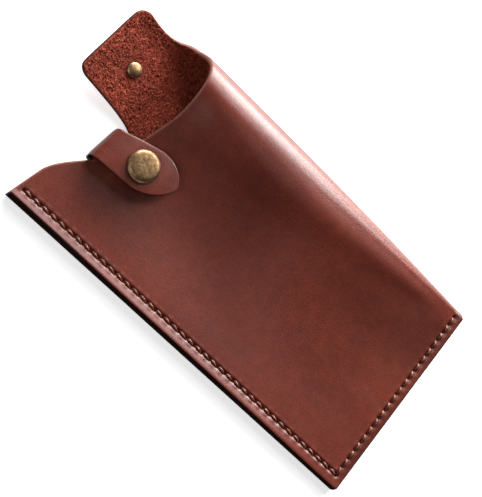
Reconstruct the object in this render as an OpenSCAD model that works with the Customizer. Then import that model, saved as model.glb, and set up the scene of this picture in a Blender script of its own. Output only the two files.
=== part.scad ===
// Soft pouch case for glasses: one sheet of leather folded along its right side and
// sewn along its left side and bottom, with a flap and a snap strap at the mouth.
// It lies on its back panel: X runs across it to the fold, Y towards the mouth, Z up.

/* [Pouch] */
// Width from the sewn side to the fold
pouch_w = 88; // [86:0.5:92]
// Length of the sewn side, from the bottom edge to the corner of the mouth
pouch_l = 167.5; // [164:0.5:174]
// Thickness of the leather
leather_t = 2; // [1.8:0.1:2.1]
// Outer radius of the fold at the mouth, where the pouch bulges open
fold_r = 10.5; // [9:0.5:11]
// How far the bulge draws the fold in at the mouth
draw_in = 1.5; // [0:0.5:3]
// Width of the sewn margin along the left side
margin = 6; // [5:0.5:7]
// How far the painted cut edge swells out along the left side
edge_swell = 0.8; // [0.4:0.1:1]

/* [Flap] */
// Line where the back panel's tongue begins to tilt up, from the bottom edge
tongue_y = 149; // [148:0.5:150]
// Line that the flap turns on, measured along the tongue
flap_turn = 8; // [7.5:0.5:8.5]
// Left side of the flap
flap_x = 46.9; // [46.9:0.1:48]
// Width of the flap
flap_w = 35.4; // [33:0.2:35.6]
// Length of the whole tongue, along the leather
flap_l = 31; // [29:0.5:32]
// How far the tongue tilts up as it lies on its stud
flap_tilt = 11.5; // [11:0.5:13]

/* [Strap] */
// Outermost line of the strap's bend
strap_bend_y = 155.8; // [155.6:0.1:156.5]
// Outer radius of the strap's bend
strap_bend_r = 3; // [2.6:0.1:3.2]
// Height of the closed strap's upper face
strap_top = 10.8; // [10.8:0.1:11.4]
// Thickness of the strap
strap_t = 1.8; // [1.6:0.1:1.9]
// Largest width of the strap
strap_w = 18.4; // [17:0.2:18.6]
// Tip of the strap
strap_tip_y = 123.4; // [122:0.2:125]

/* [Snap fasteners] */
// Diameter of the cap on the strap
cap_d = 12.5; // [11:0.5:13]
// Diameter of the dome on the inside of the flap
dome_d = 6; // [5:0.5:7]
// Distance of the cap's centre from the bottom edge
cap_y = 138.5; // [138:0.1:139]
// Distance of the dome's centre from the bottom edge
dome_y = 164; // [163:0.5:165]

/* [Seam] */
// Length of one stitch
pitch = 4; // [3.5:0.25:4.5]
// Thickness of the thread
thread_d = 0.8; // [0.6:0.1:0.9]
// Distance of the left row of stitches from the cut edge
row_x = 4.6; // [4:0.1:5]
// Distance of the bottom row of stitches from the cut edge
row_y = 3.7; // [3.4:0.1:4]

/* [Hidden] */
$fn = 48;
leather = "#5a2a22";
suede = "#8a4030";
brass = "#8d7447";
thread = "#4a1f18";

layer_gap = 0.1;             // the two sewn layers, as near as two separate faces can be
seam_h = 2 * leather_t + layer_gap;
seam_b = 5;                  // width of the sewn margin along the bottom
bottom_swell = 0.3;
mouth_y = 145;               // where the bulge is at its largest
cell = 0.3;                  // clearance at each hinge line
strap_hinge_z = strap_top / 2;  // the strap turns on a line beside its bend at this height
strap_lean = 0.165;          // the strap leans towards the fold by this slope
strap_x = 39;                // the strap's middle at the cap
strap_bend_w = 14.8;
strap_from_y = 150;          // the strap leaves the back panel here
cap_x = strap_x;
dome_x = 65;

// The box of the whole object is centred on the origin
mid_x = (pouch_w - edge_swell) / 2;
mid_y = (tongue_y + flap_l * cos(flap_tilt) - bottom_swell) / 2;

function clamp(t) = min(1, max(0, t));
function ease(t) = clamp(t) * clamp(t) * (3 - 2 * clamp(t));
function mix(a, b, t) = a + (b - a) * t;

// ---- The folded sheet ----

// Outer radius of the fold at a distance y from the bottom edge
function bend_r(y) =
    seam_h / 2 + (fold_r - seam_h / 2) * sin(90 * clamp((y - seam_b) / (mouth_y - seam_b)));
// The fold's centre line
function fold_x(y) = pouch_w - draw_in * ease(y / mouth_y) - bend_r(y);
// Height of the front panel's outer face; the strap holds it down near the mouth
function rise_power(y) = mix(1.25, 2.6, ease((y / mouth_y - 0.4) / 0.6));
function front_z(x, y) =
    seam_h + (2 * bend_r(y) - seam_h)
        * ease(pow(clamp((x - margin) / (fold_x(y) - margin)), rise_power(y)));

// The mouth's cut edge, as a distance from the bottom edge. w is measured across the
// front of the flat sheet, from the sewn side, over the fold and onto the back.
function mouth_edge(w) =
    pouch_l - 0.22 * w - 12.5 * ease((w - 14) / 27) + 11.4 * pow(max(0, w - 58) / 30, 1.6)
    + 8.3 * ease((w - 88) / 14);
// The back panel's edge carries the strap and the flap
flap_y = tongue_y + flap_turn * cos(flap_tilt);
function back_edge(x) =
    x < 28 ? mouth_edge(x) : x < 46 ? strap_from_y : flap_y;
// The tongue's rise above the table, on the back (side 0) and less on the fold
function tongue_rise(y, side) = tan(flap_tilt) * max(0, y - tongue_y) * (1 - side);

// One column of the sheet: [kind, position], running from the back's sewn side round to
// the front's. kind 0 is the back panel, 1 the fold and 2 the front panel.
back_x = [0, 7, 14, 18, 22, 25, 27.9, 28.4, 45.8, 46.9, 60];
fold_a = [for (a = [-90 : 15 : 90]) a];
front_t = [for (i = [13 : -1 : 0]) pow(i / 14, 0.9)];
front_x = [margin / 2, 0];
columns = concat([for (x = back_x) [0, x]], [for (a = fold_a) [1, a]],
                 [for (t = front_t) [2, t]], [for (x = front_x) [3, x]]);
rows = [0, 0.015, 0.03, 0.06, 0.1, 0.16, 0.22, 0.29, 0.36, 0.43, 0.5, 0.57, 0.64, 0.71,
        0.78, 0.84, 0.9, 0.95, 1];

function column_x(c, y) =
    c[0] == 0 ? min(c[1], fold_x(y)) :
    c[0] == 1 ? fold_x(y) : c[0] == 2 ? mix(margin, fold_x(y), c[1]) : c[1];
// Length of the column's row: where it meets the mouth
function column_end(c) =
    c[0] == 0 ? back_edge(c[1]) :
    c[0] == 1 ? min(flap_y, mouth_edge(fold_x(mouth_y) + bend_r(mouth_y) * (90 - c[1]) * PI / 180)) :
    mouth_edge(column_x(c, mouth_y));
// depth is 0 on the outer face and 1 on the inner one; the cut edges swell outwards
function sheet_point(c, v, depth) = let (
        y = v * column_end(c),
        x = column_x(c, y),
        r = bend_r(y) - depth * leather_t,
        out_x = (c[0] == 0 || c[0] == 3) && c[1] == 0 ? -edge_swell * depth : 0,
        out_y = v == 0 ? -bottom_swell * depth : 0)
    c[0] == 0 ? [x + out_x, y + out_y, depth * leather_t + (x > 46 ? tongue_rise(y, 0) : 0)] :
    c[0] == 1 ? [x + r * cos(c[1]), y + out_y,
                 bend_r(y) + r * sin(c[1]) + tongue_rise(y, (90 + c[1]) / 180)] :
    [x + out_x, y + out_y, front_z(x, y) - depth * leather_t];

module pouch_body() {
    n = len(columns);
    m = len(rows);
    points = [for (d = [0, 1]) for (v = rows) for (c = columns) sheet_point(c, v, d)];
    outer = [for (j = [0 : m - 2]) for (i = [0 : n - 2])
        [j * n + i, j * n + i + 1, (j + 1) * n + i + 1, (j + 1) * n + i]];
    inner = [for (f = outer) [for (k = [3 : -1 : 0]) f[k] + n * m]];
    ends = [for (i = [0 : n - 2]) each [
        [i + 1, i, i + n * m, i + 1 + n * m],
        [(m - 1) * n + i, (m - 1) * n + i + 1, (2 * m - 1) * n + i + 1, (2 * m - 1) * n + i]]];
    sides = [for (j = [0 : m - 2]) each [
        [j * n, (j + 1) * n, (j + 1) * n + n * m, j * n + n * m],
        [(j + 2) * n - 1, (j + 1) * n - 1, (j + 1) * n - 1 + n * m, (j + 2) * n - 1 + n * m]]];
    quads = concat(outer, inner, ends, sides);
    triangles = [for (q = quads) each [[q[0], q[1], q[2]], [q[0], q[2], q[3]]]];
    color(leather)
    polyhedron(points, triangles, convexity = 6);
}

// ---- The strap ----

function strap_mid(y) = strap_x + (cap_y - y) * strap_lean;
wide_y = cap_y - 1.5;        // the strap is widest here and narrows to a pointed arch
function strap_half(y) = y > wide_y
    ? mix(strap_w, strap_bend_w, (y - wide_y) / (strap_bend_y - wide_y)) / 2
    : strap_w / 2 * pow(max(0, 1 - pow((wide_y - y) / (wide_y - strap_tip_y), 2)), 0.65);

module strap_plan() {
    steps = 14;
    rounded = [for (i = [0 : steps]) mix(wide_y, strap_tip_y, sin(90 * i / steps))];
    ys = concat([strap_bend_y + 1], rounded);
    side = function(s) [for (y = ys) [strap_mid(y) + s * strap_half(y), y]];
    left = side(-1);
    polygon(concat(side(1), [for (i = [len(left) - 1 : -1 : 1]) left[i]]));
}

// The strap's side outline: a flat tail, a bend in two round corners and the closing leg
module strap_side() {
    bend_y = strap_bend_y - strap_bend_r;
    difference() {
        union() {
            translate([strap_tip_y - 1, 0]) square([bend_y - strap_tip_y + 1, strap_top]);
            translate([bend_y, strap_bend_r]) circle(strap_bend_r);
            translate([bend_y, strap_top - strap_bend_r]) circle(strap_bend_r);
            translate([bend_y, strap_bend_r])
                square([strap_bend_r, strap_top - 2 * strap_bend_r]);
        }
        inner_r = strap_bend_r - strap_t;
        translate([strap_tip_y - 2, strap_t])
            square([bend_y - strap_tip_y + 2, strap_top - 2 * strap_t]);
        translate([bend_y, strap_bend_r]) circle(inner_r);
        translate([bend_y, strap_top - strap_bend_r]) circle(inner_r);
        translate([bend_y - 1, strap_bend_r])
            square([inner_r + 1, strap_top - 2 * strap_bend_r]);
    }
}

// The whole bent strap, between two heights and beyond one line
module bent_strap(y_min, z_min, z_max) {
    intersection() {
        linear_extrude(strap_top + 1) strap_plan();
        rotate([90, 0, 90]) linear_extrude(pouch_w) strap_side();
        translate([0, y_min, z_min]) cube([pouch_w, 60, z_max - z_min]);
    }
}

module strap_root() {
    color(leather)
    bent_strap(strap_from_y, 0, strap_hinge_z - cell / 2);
}

post_r = 1.25;
module closing_strap() {
    color(leather)
    difference() {
        bent_strap(strap_tip_y - 1, strap_hinge_z + cell / 2, strap_top);
        translate([cap_x, cap_y, strap_top - strap_t - 1]) cylinder(h = strap_t + 2, r = post_r);
    }
}

// ---- The flap ----

// In the tongue's own flat frame: x as in the pouch, y from where the tongue begins
module flap_plan() {
    corner = 4;
    slant = 1.6;             // the right corner is set back by this
    near = flap_turn + cell + leather_t * tan(flap_tilt);
    right = flap_x + flap_w;
    left_end = flap_x + 2.7;
    polygon(concat(
        [[flap_x + 0.8, near], [right - 1.5, near], [right, near + 3]],
        [for (a = [0 : 10 : 90]) [right - 0.8 - corner + corner * cos(a),
                                  flap_l - slant - corner + corner * sin(a)]],
        [for (a = [90 : 10 : 180]) [left_end + corner + corner * cos(a),
                                    flap_l - corner + corner * sin(a)]],
        [[left_end - 0.4, flap_l * 0.55]]));
}

stud_along = (dome_y - tongue_y) / cos(flap_tilt);
module on_flap() {
    translate([0, tongue_y, 0]) rotate([flap_tilt, 0, 0]) children();
}

module mouth_flap() {
    color(suede)
    on_flap() difference() {
        linear_extrude(leather_t) flap_plan();
        translate([dome_x, stud_along, -1]) cylinder(h = leather_t + 2, r = post_r);
    }
}

// ---- The snap fasteners ----

cap_h = 2.5;
module snap_cap() {
    color(brass)
    translate([cap_x, cap_y, strap_top]) rotate_extrude() polygon(concat(
        [[0, -strap_t - 0.8], [post_r, -strap_t - 0.8], [post_r, 0], [cap_d / 2 - 0.4, 0]],
        [for (a = [-60 : 20 : 60]) [cap_d / 2 - 0.8 + 0.8 * cos(a), 0.8 + 0.8 * sin(a)]],
        [for (i = [4 : -1 : 0]) [(cap_d / 2 - 1.2) * i / 5, cap_h - 0.9 * pow(i / 5, 2)]]));
}

socket_h = 2.6;
socket_z = strap_top - strap_t - socket_h;
module snap_socket() {
    color(brass)
    translate([cap_x, cap_y, socket_z]) rotate_extrude() polygon([
        [post_r, socket_h], [post_r, socket_h - 0.5], [3.9, socket_h - 0.5], [3.9, 0.5],
        [3.5, 0.5], [3.5, 0], [4.7, 0], [5.2, 0.6], [5.2, socket_h - 0.4],
        [4.9, socket_h]]);
}

module socket_spring() {
    color("silver")
    translate([cap_x, cap_y, socket_z + 1]) rotate([0, 0, 110])
        rotate_extrude(angle = 320) translate([3.48, 0]) circle(0.3, $fn = 16);
}

// A ring-snap stud: base flange, neck and round head, with a bore for its post
module stud(height) {
    rotate_extrude() polygon([
        [post_r, 0], [4.4, 0], [4.4, 0.5], [2.1, 0.7], [1.9, 1.1], [2.5, height - 1],
        [2.4, height - 0.4], [2.1, height], [post_r, height]]);
}

front_post_z = front_z(cap_x, cap_y);
front_stud_h = 2.5;
module front_stud() {
    color(brass)
    translate([cap_x, cap_y, front_post_z]) stud(front_stud_h);
}

// The front stud's post comes from inside the pouch, with its flange against the leather
module front_stud_post() {
    color(brass)
    translate([cap_x, cap_y, front_post_z - leather_t - 0.5]) {
        cylinder(h = 0.5, r = 4);
        cylinder(h = leather_t + 0.5 + front_stud_h, r = post_r);
    }
}

flap_stud_h = 2.4;
module flap_stud() {
    color(brass)
    on_flap() translate([dome_x, stud_along, 0]) mirror([0, 0, 1]) stud(flap_stud_h);
}

// The flap stud's post ends in the small dome on the inside of the flap
module flap_stud_post() {
    dome_h = 1.3;
    color(brass)
    on_flap() translate([dome_x, stud_along, leather_t]) rotate_extrude() polygon(concat(
        [[0, -leather_t - flap_stud_h], [post_r, -leather_t - flap_stud_h], [post_r, 0],
         [dome_d / 2 - 0.2, 0], [dome_d / 2, 0.3]],
        [for (i = [5 : -1 : 0]) [dome_d / 2 * i / 6, dome_h - (dome_h - 0.45) * pow(i / 6, 2)]]));
}

// ---- The seam ----

left_count = floor((pouch_l - row_y - 3) / pitch);
bottom_count = floor((pouch_w - row_x - 3) / pitch);
module stitch_floats(z) {
    float_l = pitch - 0.9;
    for (i = [0 : left_count - 1])
        translate([row_x, row_y + (i + 0.5) * pitch - float_l / 2, z])
            rotate([-90, 0, 0]) cylinder(h = float_l, d = thread_d, $fn = 16);
    for (i = [0 : bottom_count - 1])
        translate([row_x + (i + 0.5) * pitch - float_l / 2, row_y, z])
            rotate([0, 90, 0]) cylinder(h = float_l, d = thread_d, $fn = 16);
}

module needle_thread() {
    color(thread)
    stitch_floats(seam_h - 0.1);
}

module bobbin_thread() {
    color(thread)
    stitch_floats(thread_d / 2 + 0.05);
}

translate([-mid_x, -mid_y, 0]) {
    pouch_body();
    strap_root();
    closing_strap();
    mouth_flap();
    snap_cap();
    snap_socket();
    socket_spring();
    front_stud();
    front_stud_post();
    flap_stud();
    flap_stud_post();
    needle_thread();
    bobbin_thread();
}
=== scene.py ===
"""Soft leather pouch for glasses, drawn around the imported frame.

The leather is three closed shells that meet where they don't move against each other: the pouch,
the flap and the strap. Lengths are in mm, in the pouch's own coordinates (x from the sewn edge,
y from the bottom edge, z from the table), and place() turns them into metres in the row frame.
"""
import math

import bmesh
import bpy
import numpy as np
from mathutils import Euler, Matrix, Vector, noise


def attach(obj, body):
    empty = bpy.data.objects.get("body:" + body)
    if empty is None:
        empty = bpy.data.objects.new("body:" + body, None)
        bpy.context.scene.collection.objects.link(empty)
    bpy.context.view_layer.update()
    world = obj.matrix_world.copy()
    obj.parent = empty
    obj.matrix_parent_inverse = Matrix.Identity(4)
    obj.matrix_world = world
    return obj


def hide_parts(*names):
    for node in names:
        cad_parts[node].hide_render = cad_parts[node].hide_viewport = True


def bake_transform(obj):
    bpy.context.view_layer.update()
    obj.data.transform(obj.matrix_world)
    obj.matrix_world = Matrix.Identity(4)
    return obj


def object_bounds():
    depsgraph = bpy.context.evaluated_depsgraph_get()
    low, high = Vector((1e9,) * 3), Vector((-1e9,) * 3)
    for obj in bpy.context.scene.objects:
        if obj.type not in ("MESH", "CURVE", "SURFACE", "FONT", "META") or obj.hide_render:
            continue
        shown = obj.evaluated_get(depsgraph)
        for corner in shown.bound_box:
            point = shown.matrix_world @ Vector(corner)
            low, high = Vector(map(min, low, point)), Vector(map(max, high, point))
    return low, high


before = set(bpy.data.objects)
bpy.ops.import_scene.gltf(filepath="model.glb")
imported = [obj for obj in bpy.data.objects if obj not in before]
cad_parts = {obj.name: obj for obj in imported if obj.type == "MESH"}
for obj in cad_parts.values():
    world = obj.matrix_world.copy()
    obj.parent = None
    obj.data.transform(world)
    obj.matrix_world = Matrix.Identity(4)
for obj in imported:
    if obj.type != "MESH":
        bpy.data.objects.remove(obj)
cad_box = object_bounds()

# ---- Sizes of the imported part, in mm ----
# The folded sheet: width, length, thickness, and how far its cut edges swell past that outline
POUCH_W, POUCH_L, LEATHER = 88.0, 167.5, 2.0
SIDE_SWELL, BOTTOM_SWELL = 0.8, 0.3
# The sewn margins: their height, and the widths of the bottom one and the side one
SEAM_H, SEAM_B, MARGIN = 4.1, 5.0, 6.0
MID_Z = SEAM_H / 2
# The fold: its largest radius, how far that draws it in, and where it is reached
FOLD_R, DRAW_IN, MOUTH_Y = 10.5, 1.5, 145.0
# The flap: the line that its tongue tilts up from, its left side and length, and the tilt in degrees
TONGUE_Y, FLAP_X, FLAP_END, TONGUE_TILT = 149.0, 46.9, 31.0, 12.3
# The strap: where it leaves the back panel, its bend's outermost line and radius, its upper face and
# thickness, then its middle at the cap, its tip, its slope towards the fold and its width
STRAP_FROM, BEND_Y, BEND_R, STRAP_TOP, STRAP_T = 150.0, 155.8, 3.0, 10.8, 1.8
STRAP_X, TIP_Y, STRAP_LEAN, STRAP_W = 39.0, 123.4, 0.165, 18.4
# The cap and the fastener under it, and the dome, its tilt in degrees and the stud under it
CAP_Y, CAP_R, FASTENER_R = 138.5, 6.25, 5.0
DOME_X, DOME_Y, DOME_R, DOME_TILT, FLAP_STUD_R = 65.0, 164.0, 3.0, 11.5, 4.4
# The stitches: the length of one, and how far the rows are from the cut edges beside them and at
# their ends
PITCH, ROW_X, ROW_Y, ROW_END = 4.0, 4.6, 3.7, 3
LEFT_COUNT = int((POUCH_L - ROW_Y - ROW_END) // PITCH)
BOTTOM_COUNT = int((POUCH_W - ROW_X - ROW_END) // PITCH)

# The CAD box's lowest corner fixes the move from these coordinates to the row frame
SHIFT = np.array([cad_box[0][0] * 1000 + SIDE_SWELL, cad_box[0][1] * 1000 + BOTTOM_SWELL, 0.0])


def place(points):
    """Points in mm, in the pouch's coordinates, as metres in the row frame."""
    return (np.asarray(points, float) + SHIFT) / 1000


def clamp(t):
    return np.clip(t, 0, 1)


def ease(t):
    """From 0 to 1 with a soft start and a soft end."""
    t = clamp(t)
    return t * t * (3 - 2 * t)


def mix(a, b, t):
    return a + (b - a) * t


# ---- The folded sheet, as in the CAD ----
def bend_r(y):
    """Outer radius of the fold."""
    return MID_Z + (FOLD_R - MID_Z) * np.sin(np.pi / 2 * clamp((y - SEAM_B) / (MOUTH_Y - SEAM_B)))


def fold_x(y):
    """Centre line of the fold."""
    return POUCH_W - DRAW_IN * ease(y / MOUTH_Y) - bend_r(y)


def front_z(x, y):
    """Height of the front panel's outer face."""
    power = mix(1.25, 2.6, ease((y / MOUTH_Y - 0.4) / 0.6))
    across = clamp((x - MARGIN) / (fold_x(y) - MARGIN))
    return SEAM_H + (2 * bend_r(y) - SEAM_H) * ease(across ** power)


def mouth_edge(w):
    """The mouth's cut edge on the flat sheet, at a distance w across it."""
    return (POUCH_L - 0.22 * w - 12.5 * ease((w - 14) / 27)
            + 11.4 * (np.maximum(0, w - 58) / 30) ** 1.6 + 8.3 * ease((w - 88) / 14))


def wander(x, y, size, seed):
    """A slow, smooth unevenness between -1 and 1, features about `size` mm across."""
    a, b = x / size * 2.1 + seed * 1.7, y / size * 2.1 - seed * 2.3
    return (np.sin(a + 1.3 * np.sin(b * 0.7)) + np.sin(b * 1.1 + 1.7 * np.sin(a * 0.6 + 1))) / 2


def fullness(x, y):
    """The front swells a little more beside the fold than the drawn curve."""
    scale = bend_r(y) / FOLD_R
    beside = (x - fold_x(y) + 10 * scale) / (6 * scale)
    full = 1.3 * scale * np.exp(-beside ** 2 / 2)
    return full * ease((y - 8) / 20) * mix(0.35, 1, ease((mouth_edge(x) - y) / 12))


def hand_unevenness(x, y):
    """The front panel isn't dead flat between its seams and the fold."""
    away = ease((x - MARGIN) / 14) * ease((y - 8) / 16) * ease((fold_x(y) + 4 - x) / 12)
    near_stud = 1 - np.exp(-((x - STRAP_X) ** 2 + (y - CAP_Y) ** 2) / 120)
    return away * near_stud * (0.22 * wander(x, y, 34, 1) + 0.1 * wander(x, y, 15, 2))


# The leather beside the stitches, in mm from the flat, and how far a hole slants across its row
GROOVE_DEPTH, HOLE_DEPTH, RIDGE_HEIGHT, HOLE_SLANT = 0.65, 0.9, 0.13, 0.45


def seam_relief(x, y):
    """Height of the leather beside the two rows of stitches, against the flat: the groove that
    they pull down, the hole at each end of a stitch, and the leather that rises between holes.
    Also how dark the painted shade is there, black in each hole and a little along the groove, 0 to 1."""
    relief, shade = np.zeros_like(x), np.zeros_like(x)
    rows = ((x - ROW_X, y - ROW_Y, LEFT_COUNT), (y - ROW_Y, x - ROW_X, BOTTOM_COUNT))
    for across, along, count in rows:
        end = count * PITCH
        inside = ease((along + 1.2) / 1.2) * ease((end + 1.2 - along) / 1.2)
        phase = along / PITCH
        to_hole = (phase - np.round(phase)) * PITCH
        mid_stitch = 0.5 - 0.5 * np.cos(2 * np.pi * phase)
        width = np.where(across < 0, 1.0, 0.65)
        groove = -GROOVE_DEPTH * np.exp(-(across / width) ** 2) * (1.1 - 0.4 * mid_stitch)
        slant = across + HOLE_SLANT * to_hole
        hole = np.exp(-(slant / 0.52) ** 2 - (to_hole / 0.8) ** 2)
        ridge = RIDGE_HEIGHT * np.exp(-((np.abs(across) - 1.35) / 0.5) ** 2) * mid_stitch
        relief += inside * (groove - HOLE_DEPTH * hole + ridge)
        # Painted shade: black in each hole, and partly dark along the groove's floor
        shade = np.maximum(shade, inside * np.maximum(hole, 0.6 * np.exp(-(across / 0.5) ** 4)))
    return relief, shade


# ---- Mesh building ----
# Which of the leather's three materials a face has
GRAIN, SUEDE, EDGE = 0, 1, 2
# Points nearer than this are welded, in metres; edges bent further than this angle look sharp
WELD, SHARP_ANGLE = 1e-6, math.radians(55)
# How square the leather's rounded edges are: 2 would be a circle
EDGE_POWER = 2.4


class Shell:
    """Grids of points that share their boundary lines, welded into one closed mesh. Each point
    carries its nap and how black it is painted, painted shade included, and each face the number of its
    material."""

    def __init__(self):
        self.points, self.faces, self.kinds, self.naps, self.paints_and_shades = [], [], [], [], []
        self.count = 0

    def grid(self, points, kind=0, nap=0.0, paint_and_shade=0.0, flip=False):
        """Adds a grid of points. Kind is one number, or one for each face."""
        rows, cols = points.shape[:2]
        index = np.arange(rows * cols).reshape(rows, cols) + self.count
        quads = np.stack([index[:-1, :-1], index[:-1, 1:], index[1:, 1:], index[1:, :-1]], -1)
        quads = quads.reshape(-1, 4)
        self.faces.append(quads[:, ::-1] if flip else quads)
        self.kinds.append(np.broadcast_to(kind, (rows - 1, cols - 1)).ravel())
        self.points.append(points.reshape(-1, 3))
        self.naps.append(np.broadcast_to(nap, (rows, cols)).ravel())
        self.paints_and_shades.append(np.broadcast_to(paint_and_shade, (rows, cols)).ravel())
        self.count += rows * cols

    def build(self, name, materials, slot):
        """The welded piece, with its nap and how black it is painted, painted shade included, as
        attributes.
        """
        mesh = bpy.data.meshes.new(name)
        mesh.from_pydata(place(np.concatenate(self.points)), [], np.concatenate(self.faces))
        for label, values in (("nap", self.naps), ("paint_and_shade", self.paints_and_shades)):
            layer = mesh.attributes.new(label, "FLOAT", "POINT")
            layer.data.foreach_set("value", np.concatenate(values).astype(np.float32))
        mesh.polygons.foreach_set("material_index", np.concatenate(self.kinds).astype(np.int32))
        work = bmesh.new()
        work.from_mesh(mesh)
        bmesh.ops.remove_doubles(work, verts=work.verts, dist=WELD)
        bmesh.ops.recalc_face_normals(work, faces=work.faces)
        work.to_mesh(mesh)
        work.free()
        for material in materials:
            mesh.materials.append(material)
        mesh.polygons.foreach_set("use_smooth", np.ones(len(mesh.polygons), bool))
        mesh.set_sharp_from_angle(angle=SHARP_ANGLE)
        piece = bpy.data.objects.new(name, mesh)
        bpy.context.scene.collection.objects.link(piece)
        return piece


def rounding(steps, power=EDGE_POWER):
    """Shares of the way in from an edge (0 to 1) and the share of the thickness there."""
    turn = np.linspace(0, np.pi / 2, steps + 1)
    return 1 - np.cos(turn) ** (2 / power), np.sin(turn) ** (2 / power)


def edge_share(distance, reach):
    """Share of the leather's thickness at this distance in from a rounded edge."""
    return (1 - (1 - clamp(distance / reach)) ** EDGE_POWER) ** (1 / EDGE_POWER)


def fibres(points):
    """Height of the brushed flesh side's clumps at these points: about -1 to 1."""
    flat = points.reshape(-1, 3)
    out = np.empty(len(flat))
    for i, (x, y, z) in enumerate(flat):
        bent = noise.noise((x * 0.35, y * 0.35, z * 0.35))
        clump = noise.noise((x + 1.4 * bent, y * 1.5 - 1.4 * bent, z * 1.1))
        strand = noise.noise((x * 1.9 + 3 * bent + 40, y * 2.6, z * 2))
        fleck = noise.noise((x * 4.5, y * 4.5 + 90, z * 4.5))
        out[i] = 1.2 * (0.22 - abs(clump)) + 0.7 * strand + 0.3 * fleck
    return out.reshape(points.shape[:-1])


def unit(vectors):
    return vectors / np.maximum(1e-9, np.linalg.norm(vectors, axis=-1, keepdims=True))


def normals_of(points):
    """Unit normals of a grid of points."""
    return unit(np.cross(np.gradient(points, axis=1), np.gradient(points, axis=0)))


def round_corner(points, corner_x, corner_y, inward_x, radius):
    """Rounds a bottom corner of the outline in plan, by moving the points themselves."""
    u = 1 - (points[..., 0] - corner_x) * inward_x / radius
    v = 1 - (points[..., 1] - corner_y) / radius
    inside = (u > 0) & (v > 0)
    square = np.maximum(u, v)
    pull = np.where(inside, square / np.maximum(1e-9, np.hypot(u, v)), 1)
    points[..., 0] = np.where(inside, corner_x + inward_x * radius * (1 - u * pull), points[..., 0])
    points[..., 1] = np.where(inside, corner_y + radius * (1 - v * pull), points[..., 1])


# ---- Materials ----
def new_material(name):
    """A material with an unlinked shader: itself, its tree, the shader and object coordinates."""
    material = bpy.data.materials.new(name)
    material.use_nodes = True
    tree = material.node_tree
    tree.nodes.clear()
    out = tree.nodes.new("ShaderNodeOutputMaterial")
    shader = tree.nodes.new("ShaderNodeBsdfPrincipled")
    tree.links.new(shader.outputs[0], out.inputs[0])
    where = tree.nodes.new("ShaderNodeTexCoord").outputs["Object"]
    return material, tree, shader, where


def texture(tree, where, scale, stretch=(1, 1, 1), kind="ShaderNodeTexNoise", **inputs):
    """A procedural texture; scale is features per metre."""
    mapping = tree.nodes.new("ShaderNodeMapping")
    mapping.inputs["Scale"].default_value = stretch
    tree.links.new(where, mapping.inputs[0])
    node = tree.nodes.new(kind)
    tree.links.new(mapping.outputs[0], node.inputs["Vector"])
    node.inputs["Scale"].default_value = scale
    for key, value in inputs.items():
        node.inputs[key].default_value = value
    return node.outputs[0]


def ramp(tree, value, *stops):
    """A colour ramp through stops of (position, colour); a colour of one number is a grey."""
    node = tree.nodes.new("ShaderNodeValToRGB")
    elements = node.color_ramp.elements
    while len(elements) < len(stops):
        elements.new(0.5)
    for element, (place_at, colour) in zip(elements, stops):
        element.position = place_at
        element.color = (*colour, 1) if len(colour) == 3 else (colour[0],) * 3 + (1,)
    tree.links.new(value, node.inputs[0])
    return node.outputs[0]


def maths(tree, operation, a, b):
    """A Math node; a and b are numbers or sockets."""
    node = tree.nodes.new("ShaderNodeMath")
    node.operation = operation
    for socket, value in zip(node.inputs, (a, b)):
        if isinstance(value, (int, float)):
            socket.default_value = value
        else:
            tree.links.new(value, socket)
    return node.outputs[0]


def mixed(tree, factor, a, b, blend="MIX"):
    """A colour Mix node; its values are numbers, colours or sockets."""
    node = tree.nodes.new("ShaderNodeMix")
    node.data_type = "RGBA"
    node.blend_type = blend
    for socket, value in ((node.inputs[0], factor), (node.inputs[6], a), (node.inputs[7], b)):
        if isinstance(value, (int, float)):
            socket.default_value = value
        elif isinstance(value, tuple):
            socket.default_value = (*value, 1)
        else:
            tree.links.new(value, socket)
    return node.outputs[2]


def tinted(tree, base, tone):
    """A colour made lighter or darker by a grey."""
    return mixed(tree, 1.0, base, tone, "MULTIPLY")


def vector_maths(tree, operation, vector, other=(0, 0, 0)):
    node = tree.nodes.new("ShaderNodeVectorMath")
    node.operation = operation
    tree.links.new(vector, node.inputs[0])
    node.inputs[1].default_value = other
    return node.outputs["Value" if operation == "LENGTH" else "Vector"]


def bump(tree, shader, *layers):
    """Stacks bump layers of (height, depth in metres)."""
    last = None
    for height, depth in layers:
        node = tree.nodes.new("ShaderNodeBump")
        node.inputs["Strength"].default_value = 1
        node.inputs["Distance"].default_value = depth
        tree.links.new(height, node.inputs["Height"])
        if last is not None:
            tree.links.new(last, node.inputs["Normal"])
        last = node.outputs[0]
    tree.links.new(last, shader.inputs["Normal"])


def attribute(tree, name):
    node = tree.nodes.new("ShaderNodeAttribute")
    node.attribute_name = name
    return node.outputs["Fac"]


# The black of the painted and stained cut edges, which the painted shade also darkens towards
PAINT_AND_SHADE_DARK = (0.012, 0.006, 0.005)


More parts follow.
